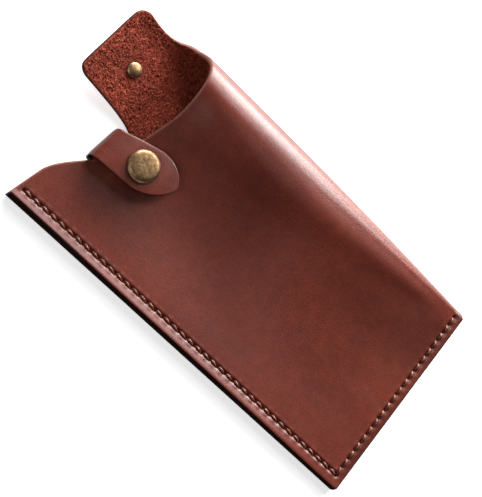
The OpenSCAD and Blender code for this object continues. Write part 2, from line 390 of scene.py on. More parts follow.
def grain_material():
    """The smooth, waxed side: fine pores, cloudy colour, and black where it is painted, painted shade
    included.
    """
    material, tree, shader, where = new_material("leather_grain_side")
    cloud = texture(tree, where, 22, Detail=3, Roughness=0.55)
    mottle = texture(tree, where, 260, Detail=4, Roughness=0.6)
    pores = texture(tree, where, 1500, kind="ShaderNodeTexVoronoi")
    grain = texture(tree, where, 1900, Detail=3, Roughness=0.6)
    scuffs = texture(tree, where, 90, (1, 0.12, 1), Detail=6, Roughness=0.72)
    base = ramp(tree, cloud, (0.3, (0.148, 0.0238, 0.0125)), (0.55, (0.193, 0.0322, 0.0168)),
                (0.75, (0.233, 0.0405, 0.0215)))
    tone = ramp(tree, mottle, (0.3, (0.86,)), (0.7, (1.12,)))
    pore_tone = ramp(tree, pores, (0.02, (1.0,)), (0.5, (0.97,)), (0.75, (0.84,)))
    base = tinted(tree, tinted(tree, base, tone), pore_tone)
    # Black edge paint and painted shade both darken the colour and dull the gloss
    paint_and_shade = attribute(tree, "paint_and_shade")
    base = mixed(tree, paint_and_shade, base, PAINT_AND_SHADE_DARK)
    tree.links.new(base, shader.inputs["Base Color"])
    rough = ramp(tree, scuffs, (0.35, (0.33,)), (0.62, (0.41,)))
    tree.links.new(rough, shader.inputs["Roughness"])
    gloss = maths(tree, "SUBTRACT", 1.0, paint_and_shade)
    tree.links.new(maths(tree, "MULTIPLY", gloss, 0.5), shader.inputs["Specular IOR Level"])
    tree.links.new(maths(tree, "MULTIPLY", gloss, 0.34), shader.inputs["Coat Weight"])
    shader.inputs["Coat Roughness"].default_value = 0.25
    bump(tree, shader, (mottle, 0.00003), (pores, 0.00003), (grain, 0.000035))
    return material


def suede_material():
    """The rough flesh side, with painted shade between its clumps and painted light at their tips: `nap`
    is their height, 0 to 1.
    """
    material, tree, shader, where = new_material("leather_flesh_side")
    nap = attribute(tree, "nap")
    fine = texture(tree, where, 2400, (1, 1.5, 1), Detail=4, Roughness=0.65)
    strands = texture(tree, where, 1100, (1, 2.4, 1), Detail=3, Roughness=0.6, Distortion=1.6)
    patch = texture(tree, where, 75, Detail=3)
    height = maths(tree, "ADD", maths(tree, "MULTIPLY", nap, 0.8), maths(tree, "MULTIPLY", fine, 0.25))
    # Painted shade and light: low nap is darker, as in the shade between clumps, and the tips are lighter
    base = ramp(tree, height, (0.22, (0.125, 0.0145, 0.0075)), (0.42, (0.26, 0.036, 0.0175)),
                (0.58, (0.42, 0.068, 0.034)), (0.74, (0.7, 0.15, 0.078)))
    tone = ramp(tree, patch, (0.32, (0.82,)), (0.68, (1.1,)))
    tree.links.new(tinted(tree, base, tone), shader.inputs["Base Color"])
    shader.inputs["Roughness"].default_value = 0.66
    shader.inputs["Specular IOR Level"].default_value = 0.16
    bump(tree, shader, (strands, 0.001), (fine, 0.0004))
    return material


def edge_material():
    """The cut edge, burnished and stained darker, black where it is painted, with painted shade on the
    strap's edge.
    """
    material, tree, shader, where = new_material("leather_cut_edge")
    layers = texture(tree, where, 700, (1, 1, 3), Detail=4, Roughness=0.6)
    base = ramp(tree, layers, (0.3, (0.13, 0.036, 0.024)), (0.7, (0.26, 0.085, 0.06)))
    paint_and_shade = attribute(tree, "paint_and_shade")
    base = mixed(tree, paint_and_shade, base, PAINT_AND_SHADE_DARK)
    tree.links.new(base, shader.inputs["Base Color"])
    shader.inputs["Roughness"].default_value = 0.45
    gloss = maths(tree, "SUBTRACT", 1.0, paint_and_shade)
    tree.links.new(maths(tree, "MULTIPLY", gloss, 0.4), shader.inputs["Specular IOR Level"])
    bump(tree, shader, (layers, 0.00008))
    return material


def brass_material(name, centre, radius):
    """Antiqued brass: dark in its blotches, worn bright towards the rim and lighter there as a painted
    highlight. Centre is in mm.
    """
    material, tree, shader, where = new_material(name)
    from_centre = vector_maths(tree, "SUBTRACT", where, tuple(place(centre)))
    flat = vector_maths(tree, "MULTIPLY", from_centre, (1, 1, 0))
    out_to_rim = maths(tree, "DIVIDE", vector_maths(tree, "LENGTH", flat), radius / 1000)
    blotch = texture(tree, where, 650, Detail=6, Roughness=0.7)
    specks = texture(tree, where, 2600, Detail=3, Roughness=0.7)
    # The band at the rim is worn brighter, and is also lighter as a painted highlight
    painted_light_band = ramp(tree, out_to_rim, (0.72, (0.0,)), (0.9, (0.6,)), (0.98, (0.5,)))
    wear_and_painted_highlight = maths(tree, "ADD", blotch, maths(tree, "MULTIPLY", painted_light_band, 0.35))
    base = ramp(tree, wear_and_painted_highlight, (0.3, (0.15, 0.085, 0.04)), (0.5, (0.25, 0.152, 0.076)),
                (0.68, (0.38, 0.245, 0.13)), (0.9, (0.75, 0.55, 0.34)))
    tone = ramp(tree, specks, (0.35, (0.72,)), (0.6, (1.06,)))
    tree.links.new(tinted(tree, base, tone), shader.inputs["Base Color"])
    rough = ramp(tree, wear_and_painted_highlight, (0.3, (0.6,)), (0.8, (0.38,)))
    tree.links.new(rough, shader.inputs["Roughness"])
    shader.inputs["Metallic"].default_value = 1.0
    bump(tree, shader, (blotch, 0.00005), (specks, 0.00002))
    return material


def steel_material():
    """Drawn spring wire, with fine lines along it."""
    material, tree, shader, where = new_material("spring_wire")
    lines = texture(tree, where, 900, (1, 1, 8), Detail=3)
    base = ramp(tree, lines, (0.3, (0.42, 0.41, 0.4)), (0.7, (0.66, 0.65, 0.63)))
    tree.links.new(base, shader.inputs["Base Color"])
    shader.inputs["Metallic"].default_value = 1.0
    shader.inputs["Roughness"].default_value = 0.28
    bump(tree, shader, (lines, 0.00002))
    return material


def thread_material():
    """Thick waxed thread: the twist is in the mesh, the single fibres are here."""
    material, tree, shader, where = new_material("waxed_thread")
    fibre = texture(tree, where, 3800, Detail=3, Roughness=0.6)
    dirt = texture(tree, where, 170, Detail=3)
    base = ramp(tree, fibre, (0.3, (0.14, 0.036, 0.02)), (0.7, (0.27, 0.08, 0.045)))
    tone = ramp(tree, dirt, (0.35, (0.85,)), (0.65, (1.12,)))
    tree.links.new(tinted(tree, base, tone), shader.inputs["Base Color"])
    shader.inputs["Roughness"].default_value = 0.36
    shader.inputs["Specular IOR Level"].default_value = 0.7
    bump(tree, shader, (fibre, 0.00005))
    return material


LEATHERS = [grain_material(), suede_material(), edge_material()]

# ---- The pouch ----
# How far in the cut edges are rounded, how square that rounding is, and the two corners' radii
SIDE_ROUND, BOTTOM_ROUND, RIM_ROUND = 1.5, 1.1, 0.75
SIDE_POWER, RIM_POWER = 2.6, 0.8
SEWN_CORNER_R, FOLD_CORNER_R = 1.9, 1.8
# How steeply the side margin rises from the stitches to the cut edge
MARGIN_SLOPE = 0.28
# How finely the panels, the fold and the rim are divided
RISE_STEPS, FOLD_STEPS, PANEL_ROWS, INNER_ROWS, RIM_STEPS = 160, 20, 410, 110, 10
# The gap in the back panel's edge that the strap comes out of, and the columns beside its two ends
GAP_LEFT, GAP_RIGHT = 28.2, 46.2
GAP_COLUMNS = (28.0, 28.4, 45.8, FLAP_X)
# Height of the suede's relief inside the pouch, on the flap and under the strap, and how far in from
# an edge it is full. Deep inside the pouch it starts at this row, and this share of the rows
INNER_RELIEF, FLAP_RELIEF, STRAP_RELIEF, RELIEF_MARGIN = 0.4, 0.5, 0.12, 1.3
NAP_ROW, NAP_FROM = 45, 0.42
# Where across the sheet the flap's line turns up to the mouth, and how long its join to the rim is
LINE_TURNS, JOIN_LENGTH = 83, 1.6
# How black the stain is along the cut edges, and how black the painted shade is in the stitch holes
STAIN_AND_SHADE = 0.85
# What a column's value is: its x, its share of the way to the fold, or its angle on the fold
AT_X, AT_SHARE, ON_FOLD = 0, 1, 2


def pouch_columns():
    """Columns from the sewn edge round to the middle of the fold: (kind, value, thickness share)."""
    way, share = rounding(8, SIDE_POWER)
    columns = [(AT_X, -SIDE_SWELL + SIDE_ROUND * w, s) for w, s in zip(way, share)]
    inner = list(np.arange(1.2, 3.1, 0.5)) + list(np.arange(3.2, MARGIN - 0.05, 0.2))
    columns += [(AT_X, x, 1) for x in inner]
    across = np.linspace(0, 1, RISE_STEPS + 1)
    mouth_run = fold_x(MOUTH_Y) - MARGIN
    for x in GAP_COLUMNS:
        wanted = (x - MARGIN) / mouth_run
        across[np.argmin(np.abs(across - wanted))] = wanted
    columns += [(AT_SHARE, t, 1) for t in across]
    columns += [(ON_FOLD, a, 1) for a in np.linspace(90, 0, FOLD_STEPS + 1)[1:]]
    return np.array(columns)


COLUMNS = pouch_columns()
KIND, VALUE, SHARE = COLUMNS.T
FIRST_INNER = int(np.argmax(KIND == AT_SHARE))
MOUTH_X = np.where(KIND == AT_X, VALUE, mix(MARGIN, fold_x(MOUTH_Y), clamp(VALUE)))
# Distance across the flat sheet at each column
GIRTH = np.where(KIND == ON_FOLD, fold_x(MOUTH_Y) + FOLD_R * np.radians(90 - VALUE), MOUTH_X)
MID_FOLD_W = float(GIRTH[-1])
MID_FOLD_Y = float(mouth_edge(MID_FOLD_W))


def flap_start(girth):
    """The line on the back panel that the flap's leather starts from; girth runs from the left
    side over the flat back and up the fold, and is MID_FOLD_W at the middle of the fold."""
    return TONGUE_Y + (MID_FOLD_Y - TONGUE_Y) * ease((girth - LINE_TURNS) / (MID_FOLD_W - LINE_TURNS))


def mouth_line(front):
    """Where each column ends, and how far before it the rim's rounding starts."""
    edge = mouth_edge(GIRTH)
    slope = np.gradient(edge, GIRTH)
    reach = RIM_ROUND * np.sqrt(1 + slope ** 2)
    reach = reach * np.where(KIND == AT_X, np.sqrt(SHARE), 1)
    if front:
        return edge, reach
    # The back panel runs on into the strap and the flap, so it has no rim there
    is_strap = (KIND == AT_SHARE) & (MOUTH_X > GAP_LEFT) & (MOUTH_X < GAP_RIGHT)
    is_flap = (KIND == ON_FOLD) | (MOUTH_X > GAP_RIGHT)
    near_fold = ease((GIRTH - (MID_FOLD_W - JOIN_LENGTH)) / JOIN_LENGTH)
    edge = np.where(is_strap, STRAP_FROM, np.where(is_flap, flap_start(GIRTH), edge))
    reach = np.where(is_strap, 0, np.where(is_flap, reach * near_fold, reach))
    return edge, reach


def panel_rows(edge, reach):
    """y at each row and column of the outer face, and the thickness share of each row."""
    way, share = rounding(7)
    low = np.r_[-BOTTOM_SWELL + BOTTOM_ROUND * way, np.arange(1.15, 2.2, 0.35), np.arange(2.3, 5.15, 0.2)]
    high = np.linspace(0, 1, PANEL_ROWS)[1:, None]
    y = np.vstack([np.broadcast_to(low[:, None], (len(low), len(edge))),
                   mix(low[-1], edge - reach, high)])
    thick = np.ones(len(y))
    thick[:len(share)] = share
    return y, thick[:, None]


def outer_face(front, y, thick):
    """Points of the grain side of one panel with its half of the fold, and its painted shade in the
    stitch holes.
    """
    centre, r = fold_x(y), bend_r(y)
    angle = np.radians(VALUE)
    x = np.where(KIND == AT_X, VALUE, mix(MARGIN, centre, clamp(VALUE)))
    x = np.where(KIND == ON_FOLD, centre + r * np.cos(angle), x)
    relief, shade = seam_relief(x, y)
    if front:
        z = np.where(KIND == ON_FOLD, r + r * np.sin(angle), front_z(x, y) + hand_unevenness(x, y))
        z = z + fullness(x, y) * np.where(KIND == ON_FOLD, np.sin(angle), 1)
        # The stitches pull the leather down, so the side margin rises from them to the cut edge
        beside_row = np.maximum(0, ROW_X - 1.6 - np.maximum(x, 0.9))
        z = z + MARGIN_SLOPE * mix(0.3, 1, ease((y - 6) / 40)) * beside_row
        z = z + relief
    else:
        z = np.where(KIND == ON_FOLD, r - r * np.sin(angle), 0.0)
        # The back lies on the table: its grooves are half as deep and it has no ridges
        z = z - 0.5 * np.minimum(relief, 0)
    z = MID_Z + (z - MID_Z) * thick * np.where(KIND == AT_X, SHARE, 1)
    points = np.stack([x, y, z], -1)
    round_corner(points, -SIDE_SWELL, -BOTTOM_SWELL, 1, SEWN_CORNER_R)
    round_corner(points, POUCH_W, -BOTTOM_SWELL, -1, FOLD_CORNER_R)
    return points, shade


def inner_face(front, edge, reach):
    """Points of the flesh side of one panel with its half of the fold, and its nap."""
    share = np.linspace(0, 1, INNER_ROWS)
    depth = 1 - (1 - share) ** 1.9
    y = mix(SEAM_B, (edge - reach)[FIRST_INNER:], depth[:, None])
    on_fold, value = KIND[FIRST_INNER:] == ON_FOLD, VALUE[FIRST_INNER:]
    centre, r = fold_x(y), bend_r(y)
    angle = np.radians(value)
    x = np.where(on_fold, centre + (r - LEATHER) * np.cos(angle), mix(MARGIN, centre, clamp(value)))
    lift = (r - LEATHER) * np.sin(angle)
    if front:
        z = np.where(on_fold, r + lift, front_z(x, y) + hand_unevenness(x, y) - LEATHER)
        z = z + fullness(x, y) * np.where(on_fold, np.sin(angle), 1)
    else:
        z = np.where(on_fold, r - lift, LEATHER)
    # The two panels meet along the bottom seam and the side seam
    z[0] = MID_Z
    z[:, 0] = MID_Z
    points = np.stack([x, y, z], -1)
    nap = np.zeros(points.shape[:2])
    nap[NAP_ROW:] = fibres(points[NAP_ROW:])
    room = ease((share[:, None] - NAP_FROM) / 0.1) * ease((x - MARGIN) / 3)
    # The relief fades before the rim, but not where the leather runs on into the flap
    fade = room * ease(edge[FIRST_INNER:] - y - 0.4)
    if not front:
        on_flap = (MOUTH_X[FIRST_INNER:] > GAP_RIGHT) | on_fold
        on_flap[-1] = False
        fade = np.where(on_flap, room, fade)
    # Both halves share the column at the middle of the fold, so it has the same normal and fade in both
    normal = normals_of(points) * (1 if front else -1)
    normal[:, -1] = (1, 0, 0)
    return points - normal * (INNER_RELIEF * nap * fade)[..., None], clamp(0.5 + 0.5 * nap)


def rim(outer_end, inner_end, reach):
    """The rounded cut edge between the two faces, column by column."""
    middle, half = (outer_end + inner_end) / 2, (outer_end - inner_end) / 2
    turn = np.linspace(0, np.pi, RIM_STEPS + 1)
    lean = np.sign(np.cos(turn)) * np.abs(np.cos(turn)) ** RIM_POWER
    lean[RIM_STEPS // 2] = 0
    out = np.sin(turn) ** RIM_POWER
    rows = middle + half * lean[:, None, None]
    rows[..., 1] += reach * out[:, None]
    return rows


def painted_shade_patches(x, y):
    """Painted shade on the front: the strap's shadow beside it, darker towards the closed end on the
    fold's side, and darker in the bottom margin."""
    strap_shadow = 0.3 * np.exp(-((x - 20) / 9) ** 2 - ((y - CAP_Y - 3) / 13) ** 2)
    fold_side_shade = 0.42 * ease((x - 38) / 26) * (1 - ease((x - 76) / 9)) * (1 - ease((y - 25) / 80))
    bottom = 0.32 * ease((x - 3) / 4) * (1 - ease((y - 2.2) / 1.5))
    return np.maximum(fold_side_shade + strap_shadow, bottom)


def face_paint_and_shade(front, points, shade):
    """How dark the outer face is: painted along its cut edges, with painted shade in the stitch holes,
    in patches on the front and along the side of the fold, where it turns from the light."""
    x, y = points[..., 0], points[..., 1]
    side = 1 - ease((x - mix(-0.1, 0.75, y / POUCH_L)) / 0.35)
    bottom = STAIN_AND_SHADE * (1 - ease((y - 0.3) / 0.45))
    paint_and_shade = np.maximum(np.maximum(side, bottom), STAIN_AND_SHADE * shade)
    if front:
        paint_and_shade = np.maximum(paint_and_shade, painted_shade_patches(x, y))
    # Painted shade along the side of the fold, where it turns away from the light
    painted_light_band = np.where(KIND == ON_FOLD, 0.6 * (1 - ease((VALUE - 31) / 12)), 0)
    return np.maximum(paint_and_shade, painted_light_band)


def make_pouch():
    """The folded sheet: the two panels' outer faces, their inner faces and the rim of the mouth."""
    shell = Shell()
    for front in (True, False):
        edge, reach = mouth_line(front)
        y, thick = panel_rows(edge, reach)
        outer, shade = outer_face(front, y, thick)
        inner, nap = inner_face(front, edge, reach)
        shell.grid(outer, GRAIN, paint_and_shade=face_paint_and_shade(front, outer, shade), flip=front)
        shell.grid(inner, SUEDE, nap=nap)
        # The rim joins the two faces, and in the side seam it goes half way, to the other panel
        outer_end = outer[-1]
        inner_end = outer_end.copy()
        inner_end[:FIRST_INNER, 2] = MID_Z
        inner_end[FIRST_INNER:] = inner[-1]
        paint_and_shade = STAIN_AND_SHADE * (1 - ease((outer_end[:, 0] - 0.2) / 1.2))
        shell.grid(rim(outer_end, inner_end, reach), EDGE, paint_and_shade=paint_and_shade)
    piece = shell.build("pouch_leather", LEATHERS, "leather_grain")
    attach(piece, "pouch")
    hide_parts("pouch_body", "strap_root")


# ---- Slabs of leather with a rounded outline: the flap and the strap ----
# Faces nearer to the outline than this show the cut edge
CUT_EDGE = RIM_ROUND * 0.42


def resample(line, shares):
    """Points at these shares of a line's length."""
    step = np.r_[0, np.cumsum(np.linalg.norm(np.diff(line, axis=0), axis=1))]
    at = np.asarray(shares) * step[-1]
    return np.stack([np.interp(at, step, line[:, k]) for k in range(line.shape[1])], -1)


def spline(points, count=200):
    """A smooth line through the points, evenly spaced along its length."""
    p = np.array(points, float)
    p = np.vstack([2 * p[0] - p[1], p, 2 * p[-1] - p[-2]])
    t = np.linspace(0, 1, 24)[:-1, None]
    parts = []
    for a, b, c, d in zip(p, p[1:], p[2:], p[3:]):
        parts.append(0.5 * (2 * b + (c - a) * t + (2 * a - 5 * b + 4 * c - d) * t ** 2
                            + (3 * b - a - 3 * c + d) * t ** 3))
    line = np.vstack(parts + [p[-2:-1]])
    return resample(line, np.linspace(0, 1, count))


def shares_with_edges(length, step, both):
    """Shares of a length, closer together where the edge is rounded."""
    way, _ = rounding(6)
    near = way[:-1] * RIM_ROUND / length
    low = near if both else np.array([0.0])
    first = RIM_ROUND / length if both else step / length
    middle = np.linspace(first, 1 - RIM_ROUND / length, int(length / step))
    return np.r_[low, middle, (1 - near)[::-1]]


def fill_outline(sides, size, step):
    """A grid between four sides (start, end, left, right) that meet at their ends. Size is its
    rough length across and along, step its spacing, and the start isn't a cut edge."""
    across, along = shares_with_edges(size[0], step, True), shares_with_edges(size[1], step, False)
    start, end = resample(sides[0], across), resample(sides[1], across)
    left, right = resample(sides[2], along), resample(sides[3], along)
    q, p = across[None, :, None], along[:, None, None]
    return ((1 - p) * start[None] + p * end[None] + (1 - q) * left[:, None] + q * right[:, None]
            - (1 - p) * (1 - q) * start[0] - (1 - p) * q * start[-1]
            - p * (1 - q) * end[0] - p * q * end[-1])


def distance_to(line, grid):
    """How far each point of a flat grid is from a line."""
    flat = grid.reshape(-1, 2)
    best = np.full(len(flat), 1e9)
    for a, b in zip(line[:-1], line[1:]):
        d = b - a
        t = clamp(((flat - a) @ d) / max(1e-12, d @ d))
        best = np.minimum(best, np.linalg.norm(flat - a - t[:, None] * d, axis=1))
    return best.reshape(grid.shape[:2])


def slab_shell(sides, plan, surface, thickness, nap_of, paint_and_shade_of):
    """A closed slab: `surface` maps the plan to the middle of the leather and the flesh side's normal."""
    shell = Shell()
    middle, normal = surface(plan)
    near_edge = distance_to(np.vstack([sides[2], sides[1], sides[3][::-1]]), plan)
    share = edge_share(near_edge, RIM_ROUND)
    on_edge = np.zeros(share.shape, bool)
    on_edge[:, 0] = on_edge[:, -1] = on_edge[-1] = True
    share = np.where(on_edge, 0, share)
    half = (thickness / 2 * share)[..., None]
    top = middle + normal * half
    nap, push = nap_of(top, near_edge)
    top = top + normal * np.where(on_edge, 0, push)[..., None]
    bottom = middle - normal * half
    paint_and_shade = paint_and_shade_of(near_edge, plan)
    is_cut = near_edge < CUT_EDGE
    is_cut = is_cut[:-1, :-1] & is_cut[1:, 1:]
    shell.grid(top, np.where(is_cut, EDGE, SUEDE), nap=nap, paint_and_shade=paint_and_shade)
    shell.grid(bottom, np.where(is_cut, EDGE, GRAIN), paint_and_shade=paint_and_shade, flip=True)
    # The hidden end that butts against the pouch's leather
    root = np.stack([top[0], mix(top[0], bottom[0], 0.5), bottom[0]])
    shell.grid(root, EDGE)
    return shell


# The flap's outline on the flat leather: across it, and along it from the start of the tongue
FLAP_LEFT = [(FLAP_X, 0), (48.2, 4), (49.1, 10.6), (49.6, 19.5), (49.8, 25.4), (50.1, 28.2), (51.2, 30.2)]
FLAP_TOP = [(51.2, 30.2), (52.8, 31.1), (56.0, 31.2), (68, 30.4), (79, 29.7), (82.3, 28.9), (83.9, 27.6)]
FLAP_RIGHT = [(91.2, 4.6), (89.2, 7.2), (87.2, 9.7), (85.7, 12.4), (84.8, 15.6), (84.6, 19), (84.8, 22.5),
              (84.9, 25.4), (83.9, 27.6)]


def tongue_path():
    """Distance along the tongue, and the y and z of its underside there."""
    along = np.linspace(-1, 40, 2000)
    tilt = np.radians(TONGUE_TILT) * ease(along / 3.5)
    step = np.gradient(along)
    y = np.cumsum(np.cos(tilt) * step)
    z = np.cumsum(np.sin(tilt) * step)
    return along, TONGUE_Y + y - np.interp(0, along, y), z - np.interp(0, along, z)


TONGUE = tongue_path()


def flap_surface(plan):
    """Beside the fold the flap curls up as the fold does, and opens out towards its free end."""
    girth, along = plan[..., 0], plan[..., 1]
    centre = fold_x(MOUTH_Y) + 1.5 * ease(along / FLAP_END)
    radius = FOLD_R + 14.5 * clamp(along / FLAP_END) ** 2.2
    turn = np.maximum(0, girth - centre) / radius
    keeps_tilt = 1 - ease(turn / (np.pi / 2))
    x = np.where(turn > 0, centre + radius * np.sin(turn), girth)
    curl = radius * (1 - np.cos(turn))
    base_y, base_z = np.interp(along, TONGUE[0], TONGUE[1]), np.interp(along, TONGUE[0], TONGUE[2])
    y = mix(TONGUE_Y + along, base_y, keeps_tilt) - 0.12 * curl * ease(along / 12)
    z = base_z * keeps_tilt + curl
    # The free end waves a little, and is drawn down round the stud
    free = ease((along - 5) / 14)
    z = z + free * (0.3 * wander(x, y, 26, 4) + 0.45 * ease((x - 76) / 9) + 0.35 * ease((53 - x) / 6))
    away = np.hypot(x - DOME_X, y - DOME_Y)
    z = z - 0.12 * np.exp(-(away / 5) ** 2)
    outer = np.stack([x, y, z], -1)
    normal = normals_of(outer)
    # The flesh side faces up, and to the left where the flap stands up beside the fold
    normal *= np.sign(normal[..., 2:3] + normal[..., 0:1] * -0.3)
    return outer + normal * LEATHER / 2, normal


def flap_nap(top, near_edge):
    """The nap on the flap's flesh side, and how far it pushes the surface out."""
    height = fibres(top)
    away = np.hypot(top[..., 0] - DOME_X, top[..., 1] - DOME_Y)
    # The dome presses the nap and the leather down around it
    pressed = np.exp(-(away / 4.2) ** 4)
    push = FLAP_RELIEF * height * ease(near_edge / RELIEF_MARGIN) * (1 - 0.8 * pressed) - 0.28 * pressed
    return clamp(0.5 + 0.5 * height - 0.12 * pressed), push


def flap_paint(near_edge, plan):
    """The flap's edge is painted, apart from where it comes out of the fold."""
    return 0.9 * (1 - ease(near_edge / 0.8)) * (1 - ease((plan[..., 0] - 80) / 9))


def make_flap():
    """The flap, from the line on the back panel and up the fold to its free end."""
    start = np.array([(g, flap_start(g) - TONGUE_Y) for g in np.linspace(FLAP_X, MID_FOLD_W, 200)])
    sides = (start, spline(FLAP_TOP), spline(FLAP_LEFT), spline([tuple(start[-1])] + FLAP_RIGHT))
    plan = fill_outline(sides, (40.0, 30.0), 0.3)
    shell = slab_shell(sides, plan, flap_surface, LEATHER, flap_nap, flap_paint)
    piece = shell.build("flap_leather", LEATHERS, "leather_flesh")
    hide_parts("mouth_flap")
    return piece


# The strap's path is drawn a little past its tip. It is widest at one y, narrower at the bend, and
# rounded below the shoulder
PAST_TIP, WIDE_Y, BEND_W, SHOULDER_Y = 1.0, CAP_Y - 1.5, 14.4, 129.5


def strap_path():
    """Distance along the strap, the y and z of its middle there, and the length before its bend."""
    r = BEND_R - STRAP_T / 2
    bend_y = BEND_Y - BEND_R
    turn = np.radians(np.linspace(0, 90, 30))
    y = [np.linspace(STRAP_FROM, bend_y, 20), bend_y + r * np.sin(turn),
         bend_y + r * np.cos(turn), np.linspace(bend_y, TIP_Y - PAST_TIP, 80)]
    z = [mix(LEATHER / 2, STRAP_T / 2, np.linspace(0, 1, 20)), BEND_R - r * np.cos(turn),
         STRAP_TOP - BEND_R + r * np.sin(turn), np.full(80, STRAP_TOP - STRAP_T / 2)]
    line = np.stack([np.concatenate(y), np.concatenate(z)], -1)
    step = np.r_[0, np.cumsum(np.linalg.norm(np.diff(line, axis=0), axis=1))]
    return step, line, bend_y - STRAP_FROM


STRAP_STEP, STRAP_LINE, STRAP_TAIL = strap_path()
STRAP_LEG_END = float(STRAP_STEP[-1]) - PAST_TIP


def strap_mid(y):
    """x of the strap's middle line."""
    return STRAP_X + (CAP_Y - y) * STRAP_LEAN


def strap_half(y):
    """Half of the strap's width."""
    upper = mix(STRAP_W, BEND_W, (y - WIDE_Y) / (BEND_Y - WIDE_Y)) / 2
    lower = STRAP_W / 2 * np.maximum(0, 1 - ((WIDE_Y - y) / (WIDE_Y - TIP_Y)) ** 2) ** 0.65
    return np.where(y > WIDE_Y, upper, lower)


def strap_side(side):
    """One long side of the strap's outline: x, and the distance along the strap."""
    along = np.linspace(0, STRAP_LEG_END - (SHOULDER_Y - TIP_Y), 160)
    y = np.interp(along, STRAP_STEP, STRAP_LINE[:, 0])
    return np.stack([strap_mid(y) + side * strap_half(y), along], -1)


def strap_surface(plan):
    """The strap follows its path round the bend and back over the front panel."""
    x, along = plan[..., 0], plan[..., 1]
    y = np.interp(along, STRAP_STEP, STRAP_LINE[:, 0])
    z = np.interp(along, STRAP_STEP, STRAP_LINE[:, 1])
    # The bend is drawn in a little on the side towards the flap
    y = y - 0.11 * np.maximum(0, x - 32) * ease((along - 2) / 4) * (1 - ease((along - 14) / 9))
    on_leg = ease((along - (STRAP_LEG_END - 29)) / 6)
    # It bows over the fastener: the tip and the long edges hang a little lower
    lower = 0.85 * ease((131.5 - y) / 8) + 0.3 * clamp(np.abs(x - strap_mid(y)) / (STRAP_W / 2)) ** 2
    z = z - on_leg * lower
    # The leather gives a little under the cap
    away = np.hypot(x - STRAP_X, y - CAP_Y)
    z = z - on_leg * 0.15 * np.exp(-(away / 6.8) ** 6)
    points = np.stack([x, y, z], -1)
    return points, normals_of(points)


def strap_nap(top, near_edge):
    """The nap on the strap's flesh side, and how far it pushes the surface out."""
    height = fibres(top)
    return clamp(0.5 + 0.5 * height), STRAP_RELIEF * height * ease(near_edge / RELIEF_MARGIN)


def strap_paint_and_shade(near_edge, plan):
    """The strap is a shade darker than the pouch, with painted shade on its bend and on the edge away
    from the flap, which faces away from the light."""
    # Painted shade on the edge away from the flap; the other edge is a little darker too
    edge = mix(0.7, 0.15, ease((plan[..., 0] - 33) / 10)) * (1 - ease(near_edge / 0.5))
    # Painted shade on the bend
    bend = 0.75 * np.exp(-((plan[..., 1] - STRAP_TAIL - 7.6) / 1.7) ** 2)
    return clamp(0.22 + edge + bend)


def make_strap():
    """The strap, with a rounded tip below its shoulder."""
    left, right = strap_side(-1), strap_side(1)
    turn = np.linspace(0, np.pi, 241)
    tip_y = SHOULDER_Y - (SHOULDER_Y - TIP_Y) * np.sin(turn)
    side = np.where(turn < np.pi / 2, -1, 1)
    tip = np.stack([strap_mid(tip_y) + side * strap_half(tip_y), STRAP_LEG_END - (tip_y - TIP_Y)], -1)
    sides = (np.linspace(left[0], right[0], 30), tip, left, right)
    plan = fill_outline(sides, (17.0, 42.0), 0.4)
    thickness = mix(LEATHER, STRAP_T, ease(plan[..., 1] / 3))
    shell = slab_shell(sides, plan, strap_surface, thickness, strap_nap, strap_paint_and_shade)
    piece = shell.build("strap_leather", LEATHERS, "leather_grain")
    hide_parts("closing_strap")
    return piece


# ---- Stitches ----
# The thread's radius, the rings along a stitch, the points round a ring, and the plies
THREAD_R, THREAD_RINGS, THREAD_SIDES, THREAD_PLIES = 0.44, 26, 14, 3
# Height above the table of the thread in front, and of the thread behind, deep in its grooves
FRONT_LEVEL, BACK_LEVEL = SEAM_H - 0.2, 0.74


def stitch_row(shell, direction, count, level, up):
    """Twisted thread that rises from one hole, lies across the row at a slant and dives into the
    next; up is 1 on the front and -1 on the back."""
    along = np.array(direction, float)
    side = np.array([-along[1], along[0]]) * up
    slant = 1 if direction[1] else -1
    t = np.linspace(0, 1, THREAD_RINGS)
    angle = np.linspace(0, 2 * np.pi, THREAD_SIDES + 1)
    for k in range(count):
        tone = noise.noise((k * 3.1, ROW_X, 7.0 * up))
        travel = PITCH * (k + t) + 0.05 * tone
        lean = (0.34 + 0.08 * tone) * np.cos(np.pi * t) * slant
        lift = (0.2 + 0.05 * tone) - 2.2 * np.abs(2 * t - 1) ** 2.2
        centre = np.zeros((THREAD_RINGS, 3))
        centre[:, :2] = (ROW_X, ROW_Y) + travel[:, None] * along + lean[:, None] * side
        centre[:, 2] = level + up * lift
        forward = unit(np.gradient(centre, axis=0))
        across = unit(np.cross(forward, (0, 0, up)))
        above = np.cross(across, forward)
        twist = angle[None, :] * THREAD_PLIES - travel[:, None] * 4.4
        swell = THREAD_R * (0.93 + 0.08 * np.cos(twist))
        ring = (across[:, None] * (swell * np.cos(angle))[..., None] * 1.08
                + above[:, None] * (swell * np.sin(angle))[..., None] * 0.92)
        tube = centre[:, None] + ring
        shell.grid(tube)
        for end in (0, -1):
            shell.grid(np.stack([np.broadcast_to(centre[end], tube[end].shape), tube[end]]))


def make_stitches(name, node, level, up):
    """Both rows of stitches on one side of the pouch."""
    shell = Shell()
    for direction, count in (((0, 1), LEFT_COUNT), ((1, 0), BOTTOM_COUNT)):
        stitch_row(shell, direction, count, level, up)
    piece = shell.build(name, [thread_material()], "waxed_thread")
    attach(piece, "pouch")
    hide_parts(node)


